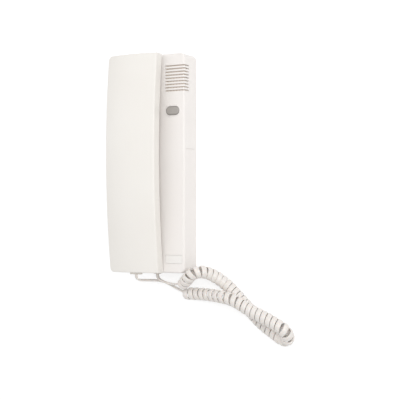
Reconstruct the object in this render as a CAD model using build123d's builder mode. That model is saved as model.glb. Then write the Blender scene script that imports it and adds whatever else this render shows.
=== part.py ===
from build123d import *
import math
import os

os.makedirs("parts", exist_ok=True)

# Wall intercom telephone, lying on its back with its curly cord beside it.
# X runs across the housing, Y runs up it, and Z points out of the wall.
# The origin is the middle of the back face. All lengths are in millimetres.

# Housing
housing_width = 76.0
housing_height = 205.0
housing_depth = 22.5
panel_width = 22.6     # beside the handset
housing_wall = 2.2
housing_corner = 5.5
housing_edge = 1.6

# Clearances that many pieces share
fit_gap = 0.15     # between pieces that are fixed one inside the other
move_gap = 0.3     # between pieces that move past or rest on each other
running_gap = 0.05     # round a shaft or a plunger in its bore
cut_over = 1.0     # how far a cut runs past the face that it opens

# Handset outline
handset_side = 9.3
handset_crown = 3.6
handset_bow = 6.6
handset_bow_peak = 10.0     # towards the ear end, from the handset's middle
handset_wall = 2.0
handset_corner = 4.0
handset_inner_corner = 1.2
handset_edge = 1.0
handset_plate = 2.4
handset_rim_share = 0.8     # of its side, above which its edges are rounded

# Ear and mouth cups of the handset, and the pockets that take them
cup_from_end = 10.5     # of the handset
cup_from_side = 6.7     # of the handset
cup_wall = 2.0
pocket_clearance = 2.0
pocket_wall = 2.0
pocket_depth = 8.0
pocket_floor_gap = 3.0
pocket_edge = 1.0

# Sound holes
ear_hole_radius = 1.0
ear_ring_radius = 7.0
ear_ring_holes = 8
mouth_hole_radius = 1.0

# Handset capsules
gasket_thickness = 1.0
gasket_width = 3.5
diaphragm_thickness = 0.4
receiver_clearance = 1.0
receiver_height = 6.0
receiver_boss_radius = 9.0
receiver_boss_height = 1.5
microphone_radius = 4.85
microphone_height = 6.0
microphone_boot_wall = 2.4
microphone_boot_roof = 1.5
microphone_rib_wall = 1.2
microphone_rib_height = 3.0

# Handset screws, between the cups
handset_screw_from_cup = 14.0
handset_screw_radius = 1.3
handset_screw_length = 9.0
handset_screw_head_radius = 2.6
handset_screw_head_height = 1.2
handset_boss_radius = 3.2

# Grille beside the handset, which runs on round the housing's edge
grille_slots = 9
slot_width = 1.2
slot_bar_width = 1.7
grille_margin = 1.8
grille_from_top = 23.1
grille_wrap = 8.5

# Ringer behind the grille
cloth_thickness = 0.5
cloth_margin = 0.5
ringer_plate_thickness = 1.2
ringer_plate_margin = 0.8     # of the plate round its studs
ringer_edge = 0.6     # of the plate beside its basket
ringer_basket_height = 3.2
ringer_wall = 0.8
ringer_magnet_radius = 5.5
ringer_magnet_height = 2.6
ringer_cone_thickness = 0.3
ringer_cone_drop = 1.6
ringer_cone_flat_share = 1 / 3     # of the cone's radius
ringer_stud_radius = 0.9
ringer_stud_length = 3.2

# Door button
button_length = 14.0
button_height = 8.0
button_from_middle = 1.2     # of the panel, towards the handset
button_from_top = 53.5
button_proud = 1.5
button_cap_bevel = 1.1
button_cap_bevel_share = 0.6     # of how far the cap stands proud
button_travel = 1.2
button_flange = 1.2
button_flange_thickness = 1.4
button_stem_radius = 2.4
button_rim_width = 1.2
button_rim_proud = 0.5
button_rim_round_share = 0.8     # of how far the rim stands proud

# Bare name plate
plate_from_side = 2.1     # of the panel
plate_height = 7.9
plate_from_middle = 0.4     # of the panel, towards the handset
plate_from_bottom = 12.8
plate_sink = 0.8
plate_thickness = 0.6
plate_corner = 0.6

# Release groove in the right side
groove_width = 0.6
groove_depth = 0.4
groove_from_back = 4.5
groove_from_front = 2.0
groove_from_top = 89.0

# Back plate
back_thickness = 2.4
back_rim_height = 3.0
back_rim_wall = 1.2
wall_hole_spacing = 130.0
wall_hole_radius = 2.25
cable_hole_width = 20.0
cable_hole_height = 15.0
cable_hole_from_right = 14.0
cable_hole_from_bottom = 35.5
cable_hole_corner = 2.0

# Screws that hold the cover to the back plate
cover_screw_from_side = 7.0
cover_screw_from_end = 6.5
cover_screw_radius = 1.4
cover_screw_length = 10.0
cover_screw_head_radius = 2.8
cover_screw_head_height = 1.3
cover_boss_radius = 3.4

# Circuit board
board_from_side = 5.0
board_thickness = 1.6
board_pocket_gap = 3.9     # under the pockets
board_from_pocket = 3.0     # above the lower pocket
board_from_top = 44.5
board_hole_inset = 3.2
board_screw_radius = 1.1
board_screw_tip_gap = 1.6
board_screw_head_radius = 2.1
board_screw_head_height = 1.2
standoff_radius = 2.8

# Button switch
switch_width = 6.2
switch_height = 4.0
plunger_radius = 1.7
plunger_sunk = 2.0
plunger_end_gap = 0.2     # under the pressed plunger

# Cradle lever, its pin, spring and switch
lever_from_pocket = 6.0
lever_width = 8.0
lever_thickness = 1.8
lever_reach = 16.0
lever_tail = 10.0
lever_hub_radius = 2.5
lever_floor_gap = 0.7
lever_slot_gap = 1.0
lever_tip_radius = 0.6
pin_radius = 1.0
lug_thickness = 2.0
lug_width = 5.4
spring_radius = 1.6
spring_wire_radius = 0.22
spring_turns = 3
spring_from_pin = 6.4
hook_switch_length = 12.8
hook_switch_width = 6.0
hook_switch_height = 4.2
hook_plunger_radius = 1.0
hook_plunger_proud = 1.1
hook_plunger_sunk = 1.8
hook_plunger_travel = 0.6

# Pieces on the board
terminal_ways = 6
terminal_way_width = 5.0
terminal_depth = 8.0
terminal_height = 9.0
terminal_wire_radius = 1.4
terminal_wire_rise = 3.0
terminal_screw_radius = 1.6
terminal_screw_length = 4.0
terminal_slot_width = 0.6
terminal_slot_depth = 0.8
capacitor_radius = 4.0
capacitor_height = 10.0
capacitor_bevel = 0.5
capacitor_gap = 4.0
chip_length = 9.8
chip_width = 6.4
chip_height = 3.3
resistor_length = 6.4
resistor_radius = 1.15
resistor_gap = 1.7
resistor_count = 5
chip_resistor_gap = 2.95

# Cord, its two strain reliefs and its wound length
cord_radius = 1.6
curl_radius = 4.2
curl_pitch = 4.8
curl_least_bend = 4.3
curl_ramp = 10.0
band_width = 4.1
band_gap = 0.4
relief_proud = 1.8
relief_neck_gap = 0.1
relief_flange = 1.0
relief_flange_thickness = 1.5
relief_edge = 0.5
base_relief_width = 6.5
base_relief_height = 5.0
base_exit_x = 1.7
base_exit_z = 11.0
handset_relief_width = 11.5
handset_relief_height = 4.6
handset_exit_rise = 5.4     # above the handset's rear edge

# Routes of the cord, from the housing to the curls, along them, and on to the handset
base_lead_route = [
    (1.7, -104.3, 11.0), (1.7, -107.0, 11.0), (3.3, -109.2, 11.0), (6.8, -110.9, 11.2),
    (11.7, -112.4, 11.5), (17.5, -113.3, 12.3), (23.5, -113.4, 13.7), (29.5, -112.8, 15.5)]
curl_route = [
    (29.5, -112.8, 15.5), (34.5, -111.8, 17.0), (39.5, -108.1, 20.0), (44.4, -103.7, 21.8),
    (50.0, -100.9, 20.8), (55.3, -100.8, 17.0), (60.0, -102.9, 12.6), (65.0, -106.3, 8.9),
    (70.6, -110.3, 6.5), (76.6, -115.3, 6.0), (83.2, -121.4, 6.0), (90.0, -128.0, 6.0),
    (97.3, -135.1, 6.0), (105.0, -142.6, 6.0), (112.4, -148.8, 6.0), (118.6, -152.5, 6.2),
    (124.2, -156.2, 6.2), (130.1, -159.9, 6.2), (136.3, -159.5, 9.7), (139.2, -155.2, 14.7),
    (136.9, -149.3, 18.4), (130.6, -145.7, 19.0), (122.3, -141.5, 19.4), (113.6, -137.8, 19.8),
    (105.1, -134.0, 20.2), (97.0, -129.7, 20.9), (88.5, -125.4, 20.8), (78.9, -123.4, 19.4),
    (67.3, -122.7, 14.6), (53.4, -122.3, 8.6), (41.5, -122.3, 6.0), (32.4, -122.6, 6.0),
    (27.6, -120.8, 6.0)]
handset_lead_route = [
    (27.6, -120.8, 6.0), (20.4, -118.1, 6.0), (13.4, -115.2, 4.3), (6.8, -112.8, 4.1),
    (1.2, -111.2, 7.2), (-3.1, -110.6, 12.4), (-6.7, -110.4, 18.0), (-9.6, -110.2, 23.3),
    (-11.0, -109.1, 26.6), (-11.3, -107.0, 28.2), (-11.3, -104.3, 28.2)]

# Places worked out from the sizes
housing_right = housing_width / 2
housing_top = housing_height / 2
face_under = housing_depth - housing_wall
handset_width = housing_width - panel_width
handset_left = -housing_right
handset_x = handset_left + handset_width / 2
handset_right = handset_left + handset_width
panel_middle = housing_right - panel_width / 2
cup_radius = handset_width / 2 - cup_from_side
cup_y = housing_top - cup_from_end - cup_radius
pocket_floor = housing_depth - pocket_depth
pocket_radius = cup_radius + pocket_clearance
cup_bottom = pocket_floor + pocket_floor_gap
cup_floor = cup_bottom + cup_wall
cup_centres = [(handset_x, cup_y), (handset_x, -cup_y)]
rear_edge_z = housing_depth + move_gap
rear_radius = (housing_top**2 + handset_bow**2) / (2 * handset_bow)
bow_axis_z = rear_edge_z - math.sqrt(rear_radius**2 - (housing_top + handset_bow_peak)**2)
front_radius = rear_radius + handset_side
plate_radius = rear_radius + handset_plate
panel_left = handset_right + grille_margin
grille_y = housing_top - grille_from_top
grille_spacing = slot_width + slot_bar_width
button_x = panel_middle - button_from_middle
button_y = housing_top - button_from_top
plate_x = panel_middle - plate_from_middle
plate_length = panel_width - 2 * plate_from_side
board_top = pocket_floor - pocket_wall - board_pocket_gap
board_under = board_top - board_thickness
board_stand = board_under - back_thickness
board_screw_length = board_stand + board_thickness - board_screw_tip_gap
board_width = housing_width - 2 * board_from_side
board_high = housing_top - board_from_top
board_low = pocket_radius + pocket_wall + board_from_pocket - cup_y
board_height = board_high - board_low
board_y = (board_high + board_low) / 2


def height_on_bow(radius, y):
    """Height of a bowed face of the handset, at a place along the handset."""
    return bow_axis_z + math.sqrt(radius**2 - (y - handset_bow_peak)**2)


def bowed_bar(inset, low_radius, edge_radius, crown):
    """A bar bowed like the handset, drawn in from its sides, between two radii and with a crowned front."""
    reach = math.asin((housing_top + handset_bow_peak + cut_over) / (low_radius - cut_over))
    axis_place = (0, handset_bow_peak, bow_axis_z)
    start = Plane(origin=axis_place, x_dir=(1, 0, 0), z_dir=(0, -math.cos(reach), -math.sin(reach)))
    left = handset_left + inset
    right = handset_right - inset
    with BuildPart() as bar:
        with BuildSketch(start):
            with BuildLine():
                Polyline((left, edge_radius), (left, low_radius), (right, low_radius), (right, edge_radius))
                if crown:
                    ThreePointArc(
                        (right, edge_radius), (handset_x, edge_radius + crown), (left, edge_radius))
                else:
                    Line((right, edge_radius), (left, edge_radius))
            make_face()
        revolve(axis=Axis(axis_place, (-1, 0, 0)), revolution_arc=2 * math.degrees(reach))
    return bar.part


def handset_plan(inset):
    """The handset's outline seen from the front, drawn in by inset: rounder at its free side."""
    with BuildSketch(Plane.XY, mode=Mode.PRIVATE) as plan:
        with Locations((handset_x, 0)):
            Rectangle(handset_width - 2 * inset, housing_height - 2 * inset)
        corners = plan.vertices().group_by(Axis.X)
        fillet(corners[0], radius=max(handset_corner - inset, handset_inner_corner / 2))
        fillet(corners[-1], radius=max(handset_inner_corner - inset, handset_inner_corner / 2))
    return plan.sketch


def finish_part(builder, name):
    """Labels a finished piece and writes it to its file."""
    builder.part.label = name
    export_step(builder.part, "parts/" + name + ".step")


# Front cover: the open box that carries the cradle, the panel and all that works behind it
cover_screw_places = [
    (side * (housing_right - cover_screw_from_side), end * (housing_top - cover_screw_from_end))
    for side in (-1, 1) for end in (-1, 1)]
lever_y = cup_y - pocket_radius - lever_from_pocket
lever_top = pocket_floor + lever_floor_gap + lever_thickness
lever_z = lever_top
lever_under = lever_top - lever_thickness
ringer_width = housing_right - housing_wall - cloth_thickness - handset_right - 2 * fit_gap
ringer_x = handset_right + fit_gap + ringer_width / 2
ringer_radius = ringer_width / 2 - ringer_edge
cloth_height = (grille_slots - 1) * grille_spacing + slot_width + 2 * cloth_margin
stud_offset_y = cloth_height / 2 + ringer_stud_radius + fit_gap
stud_places = [
    (ringer_x + side * (ringer_width / 2 - 2 * ringer_stud_radius), grille_y + end * stud_offset_y)
    for side, end in ((-1, 1), (-1, -1), (1, -1))]
lug_inner = lever_width / 2 + move_gap

with BuildPart() as front_cover:
    with BuildSketch(Plane.XY):
        RectangleRounded(housing_width, housing_height, housing_corner)
    extrude(amount=housing_depth)
    fillet(front_cover.faces().sort_by(Axis.Z)[-1].edges(), radius=housing_edge)
    with BuildSketch(Plane.XY):
        RectangleRounded(
            housing_width - 2 * housing_wall, housing_height - 2 * housing_wall,
            housing_corner - housing_wall)
    extrude(amount=face_under, mode=Mode.SUBTRACT)

    # pockets for the cups of the handset
    with BuildSketch(Plane.XY.offset(pocket_floor - pocket_wall)):
        with Locations(*cup_centres):
            Circle(pocket_radius + pocket_wall)
    extrude(amount=face_under - pocket_floor + pocket_wall)
    with BuildSketch(Plane.XY.offset(pocket_floor)):
        with Locations(*cup_centres):
            Circle(pocket_radius)
    extrude(amount=pocket_depth + cut_over, mode=Mode.SUBTRACT)
    lips = front_cover.edges().filter_by(GeomType.CIRCLE)
    lips = lips.filter_by_position(Axis.Z, housing_depth - fit_gap, housing_depth + fit_gap)
    fillet(lips.filter_by(lambda edge: abs(edge.radius - pocket_radius) < fit_gap), radius=pocket_edge)

    # way through the pocket wall for the cradle lever
    with BuildSketch(Plane.XY.offset(pocket_floor)):
        with Locations((handset_x, lever_y + lever_hub_radius)):
            Rectangle(
                lever_width + 2 * lever_slot_gap, lever_reach, align=(Align.CENTER, Align.MIN))
    extrude(amount=face_under - pocket_floor, mode=Mode.SUBTRACT)

    # lugs for the lever's pin
    with BuildSketch(Plane.XY.offset(lever_z - lug_width / 2)):
        for side in (-1, 1):
            with Locations((handset_x + side * (lug_inner + lug_thickness / 2), lever_y)):
                Rectangle(lug_thickness, lug_width)
    extrude(amount=face_under - lever_z + lug_width / 2)
    with BuildSketch(Plane.YZ.offset(handset_x)):
        with Locations((lever_y, lever_z)):
            Circle(pin_radius)
    extrude(amount=lug_inner + lug_thickness + cut_over, both=True, mode=Mode.SUBTRACT)

    # grille slots in the panel and down the side
    with BuildSketch(Plane.XY.offset(housing_depth - grille_wrap)):
        with Locations(((panel_left + housing_right + cut_over) / 2, grille_y)):
            with GridLocations(grille_spacing, grille_spacing, 1, grille_slots):
                Rectangle(housing_right + cut_over - panel_left, slot_width)
    extrude(amount=grille_wrap + cut_over, mode=Mode.SUBTRACT)

    # studs that hold the ringer
    with BuildSketch(Plane.XY.offset(face_under - ringer_stud_length)):
        with Locations(*stud_places):
            Circle(ringer_stud_radius)
    extrude(amount=ringer_stud_length)

    # raised rim and opening for the door button
    with BuildSketch(Plane.XY.offset(face_under)):
        with Locations((button_x, button_y)):
            SlotOverall(
                button_length + 2 * (button_rim_width + move_gap),
                button_height + 2 * (button_rim_width + move_gap))
    extrude(amount=housing_wall + button_rim_proud)
    rim = front_cover.faces().sort_by(Axis.Z)[-1].edges()
    fillet(rim, radius=button_rim_proud * button_rim_round_share)
    with BuildSketch(Plane.XY.offset(face_under - cut_over)):
        with Locations((button_x, button_y)):
            SlotOverall(button_length + 2 * move_gap, button_height + 2 * move_gap)
    extrude(amount=housing_wall + button_rim_proud + 2 * cut_over, mode=Mode.SUBTRACT)

    # recess for the name plate
    with BuildSketch(Plane.XY.offset(housing_depth - plate_sink)):
        with Locations((plate_x, plate_from_bottom - housing_top)):
            RectangleRounded(plate_length, plate_height, plate_corner)
    extrude(amount=plate_sink + cut_over, mode=Mode.SUBTRACT)

    # release groove down the right side
    with BuildSketch(Plane.XY.offset(groove_from_back)):
        with Locations((housing_right, housing_top - groove_from_top)):
            Rectangle(2 * groove_depth, groove_width)
    extrude(amount=housing_depth - groove_from_back - groove_from_front, mode=Mode.SUBTRACT)

    # bosses that the back plate is screwed to
    with BuildSketch(Plane.XY.offset(back_thickness)):
        with Locations(*cover_screw_places):
            Circle(cover_boss_radius)
    extrude(amount=face_under - back_thickness)
    with BuildSketch(Plane.XY.offset(back_thickness)):
        with Locations(*cover_screw_places):
            Circle(cover_screw_radius + running_gap)
    extrude(amount=cover_screw_length, mode=Mode.SUBTRACT)

    # opening for the strain relief in the lower end
    with BuildSketch(Plane.XZ.offset(housing_top - housing_wall - cut_over)):
        with Locations((base_exit_x, base_exit_z)):
            RectangleRounded(
                base_relief_width - 2 * relief_flange + 2 * relief_neck_gap,
                base_relief_height - 2 * relief_flange + 2 * relief_neck_gap, relief_edge)
    extrude(amount=housing_wall + 2 * cut_over, mode=Mode.SUBTRACT)
finish_part(front_cover, "front_cover")

# Name plate, bare
with BuildPart() as name_plate:
    with BuildSketch(Plane.XY.offset(housing_depth - plate_sink)):
        with Locations((plate_x, plate_from_bottom - housing_top)):
            RectangleRounded(plate_length - 2 * fit_gap, plate_height - 2 * fit_gap, plate_corner)
    extrude(amount=plate_thickness)
finish_part(name_plate, "name_plate")

# Back plate: flat on the wall, with standoffs for the board
board_hole_places = [
    (side * (board_width / 2 - board_hole_inset), board_y + end * (board_height / 2 - board_hole_inset))
    for side in (-1, 1) for end in (-1, 1)]
back_width = housing_width - 2 * housing_wall - 2 * fit_gap
back_height = housing_height - 2 * housing_wall - 2 * fit_gap
back_corner = housing_corner - housing_wall
with BuildPart() as back_plate:
    with BuildSketch(Plane.XY):
        RectangleRounded(back_width, back_height, back_corner)
    extrude(amount=back_thickness)
    with BuildSketch(Plane.XY.offset(back_thickness)):
        RectangleRounded(back_width, back_height, back_corner)
        RectangleRounded(
            back_width - 2 * back_rim_wall, back_height - 2 * back_rim_wall,
            back_corner - back_rim_wall, mode=Mode.SUBTRACT)
    extrude(amount=back_rim_height)
    with BuildSketch(Plane.XY.offset(back_thickness)):
        with Locations(*cover_screw_places):
            Circle(cover_boss_radius + fit_gap)
    extrude(amount=back_rim_height + cut_over, mode=Mode.SUBTRACT)
    with BuildSketch(Plane.XY.offset(back_thickness)):
        with Locations(*board_hole_places):
            Circle(standoff_radius)
    extrude(amount=board_stand)
    with BuildSketch(Plane.XY.offset(back_thickness)):
        with Locations(*board_hole_places):
            Circle(board_screw_radius + running_gap)
    extrude(amount=board_stand + cut_over, mode=Mode.SUBTRACT)
    with Locations(*[(x, y, 0) for x, y in cover_screw_places]):
        with Locations(Rotation(180, 0, 0)):
            CounterBoreHole(
                cover_screw_radius + running_gap, cover_screw_head_radius + fit_gap,
                cover_screw_head_height, depth=2 * back_thickness)
    with Locations((0, wall_hole_spacing / 2, back_thickness), (0, -wall_hole_spacing / 2, back_thickness)):
        Hole(wall_hole_radius)
    with BuildSketch(Plane.XY):
        with Locations((housing_right - cable_hole_from_right, cable_hole_from_bottom - housing_top)):
            RectangleRounded(cable_hole_width, cable_hole_height, cable_hole_corner)
    extrude(amount=back_thickness, mode=Mode.SUBTRACT)
finish_part(back_plate, "back_plate")

# Screws through the back plate into the cover
with BuildPart() as cover_screws:
    with BuildSketch(Plane.XY):
        with Locations(*cover_screw_places):
            Circle(cover_screw_head_radius)
    extrude(amount=cover_screw_head_height)
    with BuildSketch(Plane.XY.offset(cover_screw_head_height)):
        with Locations(*cover_screw_places):
            Circle(cover_screw_radius)
    extrude(amount=cover_screw_length - cover_screw_head_height)
finish_part(cover_screws, "cover_screws")

# Circuit board
with BuildPart() as circuit_board:
    with BuildSketch(Plane.XY.offset(board_under)):
        with Locations((0, board_y)):
            Rectangle(board_width, board_height)
        with Locations(*board_hole_places):
            Circle(board_screw_radius + running_gap, mode=Mode.SUBTRACT)
    extrude(amount=board_thickness)
finish_part(circuit_board, "circuit_board")

with BuildPart() as board_screws:
    with BuildSketch(Plane.XY.offset(board_top)):
        with Locations(*board_hole_places):
            Circle(board_screw_head_radius)
    extrude(amount=board_screw_head_height)
    with BuildSketch(Plane.XY.offset(board_top - board_screw_length)):
        with Locations(*board_hole_places):
            Circle(board_screw_radius)
    extrude(amount=board_screw_length)
finish_part(board_screws, "board_screws")

# Cloth behind the grille, bent down behind the side slots
cloth_right = housing_right - housing_wall
with BuildPart() as grille_cloth:
    with BuildSketch(Plane.XZ):
        with BuildLine():
            Polyline(
                (panel_left - cloth_margin, face_under), (cloth_right, face_under),
                (cloth_right, housing_depth - grille_wrap - cloth_margin),
                (cloth_right - cloth_thickness, housing_depth - grille_wrap - cloth_margin),
                (cloth_right - cloth_thickness, face_under - cloth_thickness),
                (panel_left - cloth_margin, face_under - cloth_thickness), close=True)
        make_face()
    extrude(amount=cloth_height / 2, both=True)
grille_cloth.part.position = (0, grille_y, 0)
finish_part(grille_cloth, "grille_cloth")

# Ringer: plate with a basket, cone and magnet
ringer_top = face_under - cloth_thickness
ringer_under = ringer_top - ringer_plate_thickness
with BuildPart() as ringer_frame:
    with BuildSketch(Plane.XY.offset(ringer_under)):
        with Locations((ringer_x, grille_y)):
            Rectangle(
                ringer_width - 2 * fit_gap,
                2 * (stud_offset_y + ringer_stud_radius + ringer_plate_margin))
        with Locations(*stud_places):
            Circle(ringer_stud_radius + fit_gap, mode=Mode.SUBTRACT)
        with Locations(*cover_screw_places):
            Circle(cover_boss_radius + move_gap, mode=Mode.SUBTRACT)
    extrude(amount=ringer_plate_thickness)
    with BuildSketch(Plane.XY.offset(ringer_under - ringer_basket_height)):
        with Locations((ringer_x, grille_y)):
            Circle(ringer_radius)
    extrude(amount=ringer_basket_height)
    with BuildSketch(Plane.XY.offset(ringer_under - ringer_basket_height + ringer_wall)):
        with Locations((ringer_x, grille_y)):
            Circle(ringer_radius - ringer_wall)
    extrude(amount=ringer_basket_height + ringer_plate_thickness, mode=Mode.SUBTRACT)
finish_part(ringer_frame, "ringer_frame")

with BuildPart() as ringer_magnet:
    with BuildSketch(Plane.XY.offset(ringer_under - ringer_basket_height - ringer_magnet_height)):
        with Locations((ringer_x, grille_y)):
            Circle(ringer_magnet_radius)
    extrude(amount=ringer_magnet_height)
finish_part(ringer_magnet, "ringer_magnet")

cone_outer = ringer_radius - ringer_wall - fit_gap
cone_inner = cone_outer * ringer_cone_flat_share
cone_top = ringer_top - ringer_cone_thickness
with BuildPart() as ringer_cone:
    with BuildSketch(Plane.XZ):
        with BuildLine():
            Polyline(
                (0, cone_top - ringer_cone_drop), (cone_inner, cone_top - ringer_cone_drop),
                (cone_outer, cone_top - ringer_cone_thickness), (cone_outer, cone_top),
                (cone_inner, cone_top - ringer_cone_drop + ringer_cone_thickness),
                (0, cone_top - ringer_cone_drop + ringer_cone_thickness), close=True)
        make_face()
    revolve(axis=Axis.Z)
ringer_cone.part.position = (ringer_x, grille_y, 0)
finish_part(ringer_cone, "ringer_cone")

# Door button: capped slot with a flange behind the panel and a stem down to the switch
plunger_top = board_top + switch_height + plunger_sunk
plunger_bore_depth = plunger_sunk + button_travel + plunger_end_gap
flange_top = face_under - move_gap
with BuildPart() as door_button:
    with BuildSketch(Plane.XY.offset(flange_top)):
        with Locations((button_x, button_y)):
            SlotOverall(button_length, button_height)
    extrude(amount=housing_depth + button_proud - flange_top)
    chamfer(
        door_button.faces().sort_by(Axis.Z)[-1].edges(),
        length=button_proud * button_cap_bevel_share, length2=button_cap_bevel)
    with BuildSketch(Plane.XY.offset(flange_top - button_flange_thickness)):
        with Locations((button_x, button_y)):
            SlotOverall(button_length + 2 * button_flange, button_height + 2 * button_flange)
    extrude(amount=button_flange_thickness)
    with BuildSketch(Plane.XY.offset(plunger_top)):
        with Locations((button_x, button_y)):
            Circle(button_stem_radius)
    extrude(amount=flange_top - button_flange_thickness - plunger_top)
finish_part(door_button, "door_button")

# Push switch under the button
with BuildPart() as button_switch:
    with BuildSketch(Plane.XY.offset(board_top)):
        with Locations((button_x, button_y)):
            Rectangle(switch_width, switch_width)
    extrude(amount=switch_height)
    with BuildSketch(Plane.XY.offset(board_top + switch_height - plunger_bore_depth)):
        with Locations((button_x, button_y)):
            Circle(plunger_radius + running_gap)
    extrude(amount=plunger_bore_depth, mode=Mode.SUBTRACT)
finish_part(button_switch, "button_switch")

with BuildPart() as switch_plunger:
    with BuildSketch(Plane.XY.offset(board_top + switch_height - plunger_sunk)):
        with Locations((button_x, button_y)):
            Circle(plunger_radius)
    extrude(amount=2 * plunger_sunk)
finish_part(switch_plunger, "switch_plunger")

# Cradle lever: its tongue lies under the ear cup, its tail works the switch
with BuildPart() as hook_lever:
    with BuildSketch(Plane.YZ.offset(handset_x - lever_width / 2)):
        with Locations((lever_y, lever_z)):
            Circle(lever_hub_radius)
        with Locations((lever_y - lever_tail, lever_under)):
            Rectangle(lever_tail + lever_reach, lever_thickness, align=(Align.MIN, Align.MIN))
        with Locations((lever_y, lever_z)):
            Circle(pin_radius + running_gap, mode=Mode.SUBTRACT)
    extrude(amount=lever_width)
    tips = hook_lever.edges().filter_by(Axis.X).group_by(Axis.Y)
    fillet(tips[-1] + tips[0], radius=lever_tip_radius)
finish_part(hook_lever, "hook_lever")

with BuildPart() as hook_pin:
    with BuildSketch(Plane.YZ.offset(handset_x)):
        with Locations((lever_y, lever_z)):
            Circle(pin_radius)
    extrude(amount=lug_inner + lug_thickness, both=True)
finish_part(hook_pin, "hook_pin")

# Spring between the lever's tail and the cover
spring_height = face_under - lever_top - 2 * (spring_wire_radius + fit_gap)
with BuildPart() as hook_spring:
    with BuildLine() as spring_line:
        Helix(pitch=spring_height / spring_turns, height=spring_height, radius=spring_radius)
    with BuildSketch(Plane(origin=spring_line.edges()[0] @ 0, z_dir=spring_line.edges()[0] % 0)):
        Circle(spring_wire_radius)
    sweep(is_frenet=True)
hook_spring.part.position = (
    handset_x, lever_y - spring_from_pin, lever_top + spring_wire_radius + fit_gap)
finish_part(hook_spring, "hook_spring")

with BuildPart() as hook_switch:
    with BuildSketch(Plane.XY.offset(board_top)):
        with Locations((handset_x, lever_y - spring_from_pin)):
            Rectangle(hook_switch_length, hook_switch_width)
    extrude(amount=hook_switch_height)
    hook_bore_floor = board_top + hook_switch_height - hook_plunger_sunk - hook_plunger_travel
    with BuildSketch(Plane.XY.offset(hook_bore_floor)):
        with Locations((handset_x, lever_y - spring_from_pin)):
            Circle(hook_plunger_radius + running_gap)
    extrude(amount=hook_plunger_sunk + hook_plunger_travel, mode=Mode.SUBTRACT)
finish_part(hook_switch, "hook_switch")

with BuildPart() as hook_plunger:
    with BuildSketch(Plane.XY.offset(board_top + hook_switch_height - hook_plunger_sunk)):
        with Locations((handset_x, lever_y - spring_from_pin)):
            Circle(hook_plunger_radius)
    extrude(amount=hook_plunger_sunk + hook_plunger_proud)
finish_part(hook_plunger, "hook_plunger")

# Terminal block at the lower edge of the board
terminal_y = board_y - board_height / 2 + terminal_depth / 2
with BuildPart() as terminal_block:
    with BuildSketch(Plane.XY.offset(board_top)):
        with Locations((0, terminal_y)):
            Rectangle(terminal_ways * terminal_way_width, terminal_depth)
    extrude(amount=terminal_height)
    with BuildSketch(Plane.XY.offset(board_top + terminal_height - terminal_screw_length)):
        with Locations((0, terminal_y)):
            with GridLocations(terminal_way_width, terminal_way_width, terminal_ways, 1):
                Circle(terminal_screw_radius + running_gap)
    extrude(amount=terminal_screw_length, mode=Mode.SUBTRACT)
    with BuildSketch(Plane.XZ.offset(terminal_depth / 2 - terminal_y)):
        with Locations((0, board_top + terminal_wire_rise)):
            with GridLocations(terminal_way_width, terminal_way_width, terminal_ways, 1):
                Circle(terminal_wire_radius)
    extrude(amount=-terminal_depth / 2, mode=Mode.SUBTRACT)
finish_part(terminal_block, "terminal_block")

with BuildPart() as terminal_screws:
    with BuildSketch(Plane.XY.offset(board_top + terminal_height - terminal_screw_length)):
        with Locations((0, terminal_y)):
            with GridLocations(terminal_way_width, terminal_way_width, terminal_ways, 1):
                Circle(terminal_screw_radius)
    extrude(amount=terminal_screw_length - terminal_slot_depth)
    with BuildSketch(Plane.XY.offset(board_top + terminal_height - 2 * terminal_slot_depth)):
        with Locations((0, terminal_y)):
            with GridLocations(terminal_way_width, terminal_way_width, terminal_ways, 1):
                Rectangle(2 * terminal_screw_radius, terminal_slot_width)
    extrude(amount=terminal_slot_depth, mode=Mode.SUBTRACT)
finish_part(terminal_screws, "terminal_screws")

# Capacitors, amplifier chip and resistors
capacitor_step = 2 * capacitor_radius + capacitor_gap
with BuildPart() as capacitors:
    with BuildSketch(Plane.XY.offset(board_top)):
        with Locations((button_x, board_y)):
            with GridLocations(capacitor_step, capacitor_step, 1, 2):
                Circle(capacitor_radius)
    extrude(amount=capacitor_height)
    chamfer(capacitors.faces().group_by(Axis.Z)[-1].edges(), length=capacitor_bevel)
finish_part(capacitors, "capacitors")

with BuildPart() as amplifier_chip:
    with BuildSketch(Plane.XY.offset(board_top)):
        with Locations((0, board_y)):
            Rectangle(chip_length, chip_width)
    extrude(amount=chip_height)
finish_part(amplifier_chip, "amplifier_chip")

first_resistor_x = -chip_length / 2 - chip_resistor_gap - resistor_radius
with BuildPart() as resistors:
    with BuildSketch(Plane.XZ.offset(-board_y)):
        for k in range(resistor_count):
            with Locations((
                    first_resistor_x - k * (2 * resistor_radius + resistor_gap),
                    board_top + resistor_radius)):
                Circle(resistor_radius)
    extrude(amount=resistor_length / 2, both=True)
finish_part(resistors, "resistors")

# Strain relief of the housing
with BuildPart() as base_relief:
    with BuildSketch(Plane.XZ.offset(housing_top)):
        with Locations((base_exit_x, base_exit_z)):
            RectangleRounded(base_relief_width, base_relief_height, relief_edge)
    extrude(amount=relief_proud)
    fillet(base_relief.faces().sort_by(Axis.Y)[0].edges(), radius=relief_edge)
    with BuildSketch(Plane.XZ.offset(housing_top - housing_wall)):
        with Locations((base_exit_x, base_exit_z)):
            RectangleRounded(
                base_relief_width - 2 * relief_flange, base_relief_height - 2 * relief_flange,
                relief_edge)
    extrude(amount=housing_wall)
    with BuildSketch(Plane.XZ.offset(housing_top - housing_wall - relief_flange_thickness)):
        with Locations((base_exit_x, base_exit_z)):
            RectangleRounded(base_relief_width, base_relief_height, relief_edge)
    extrude(amount=relief_flange_thickness)
finish_part(base_relief, "base_relief")

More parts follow.
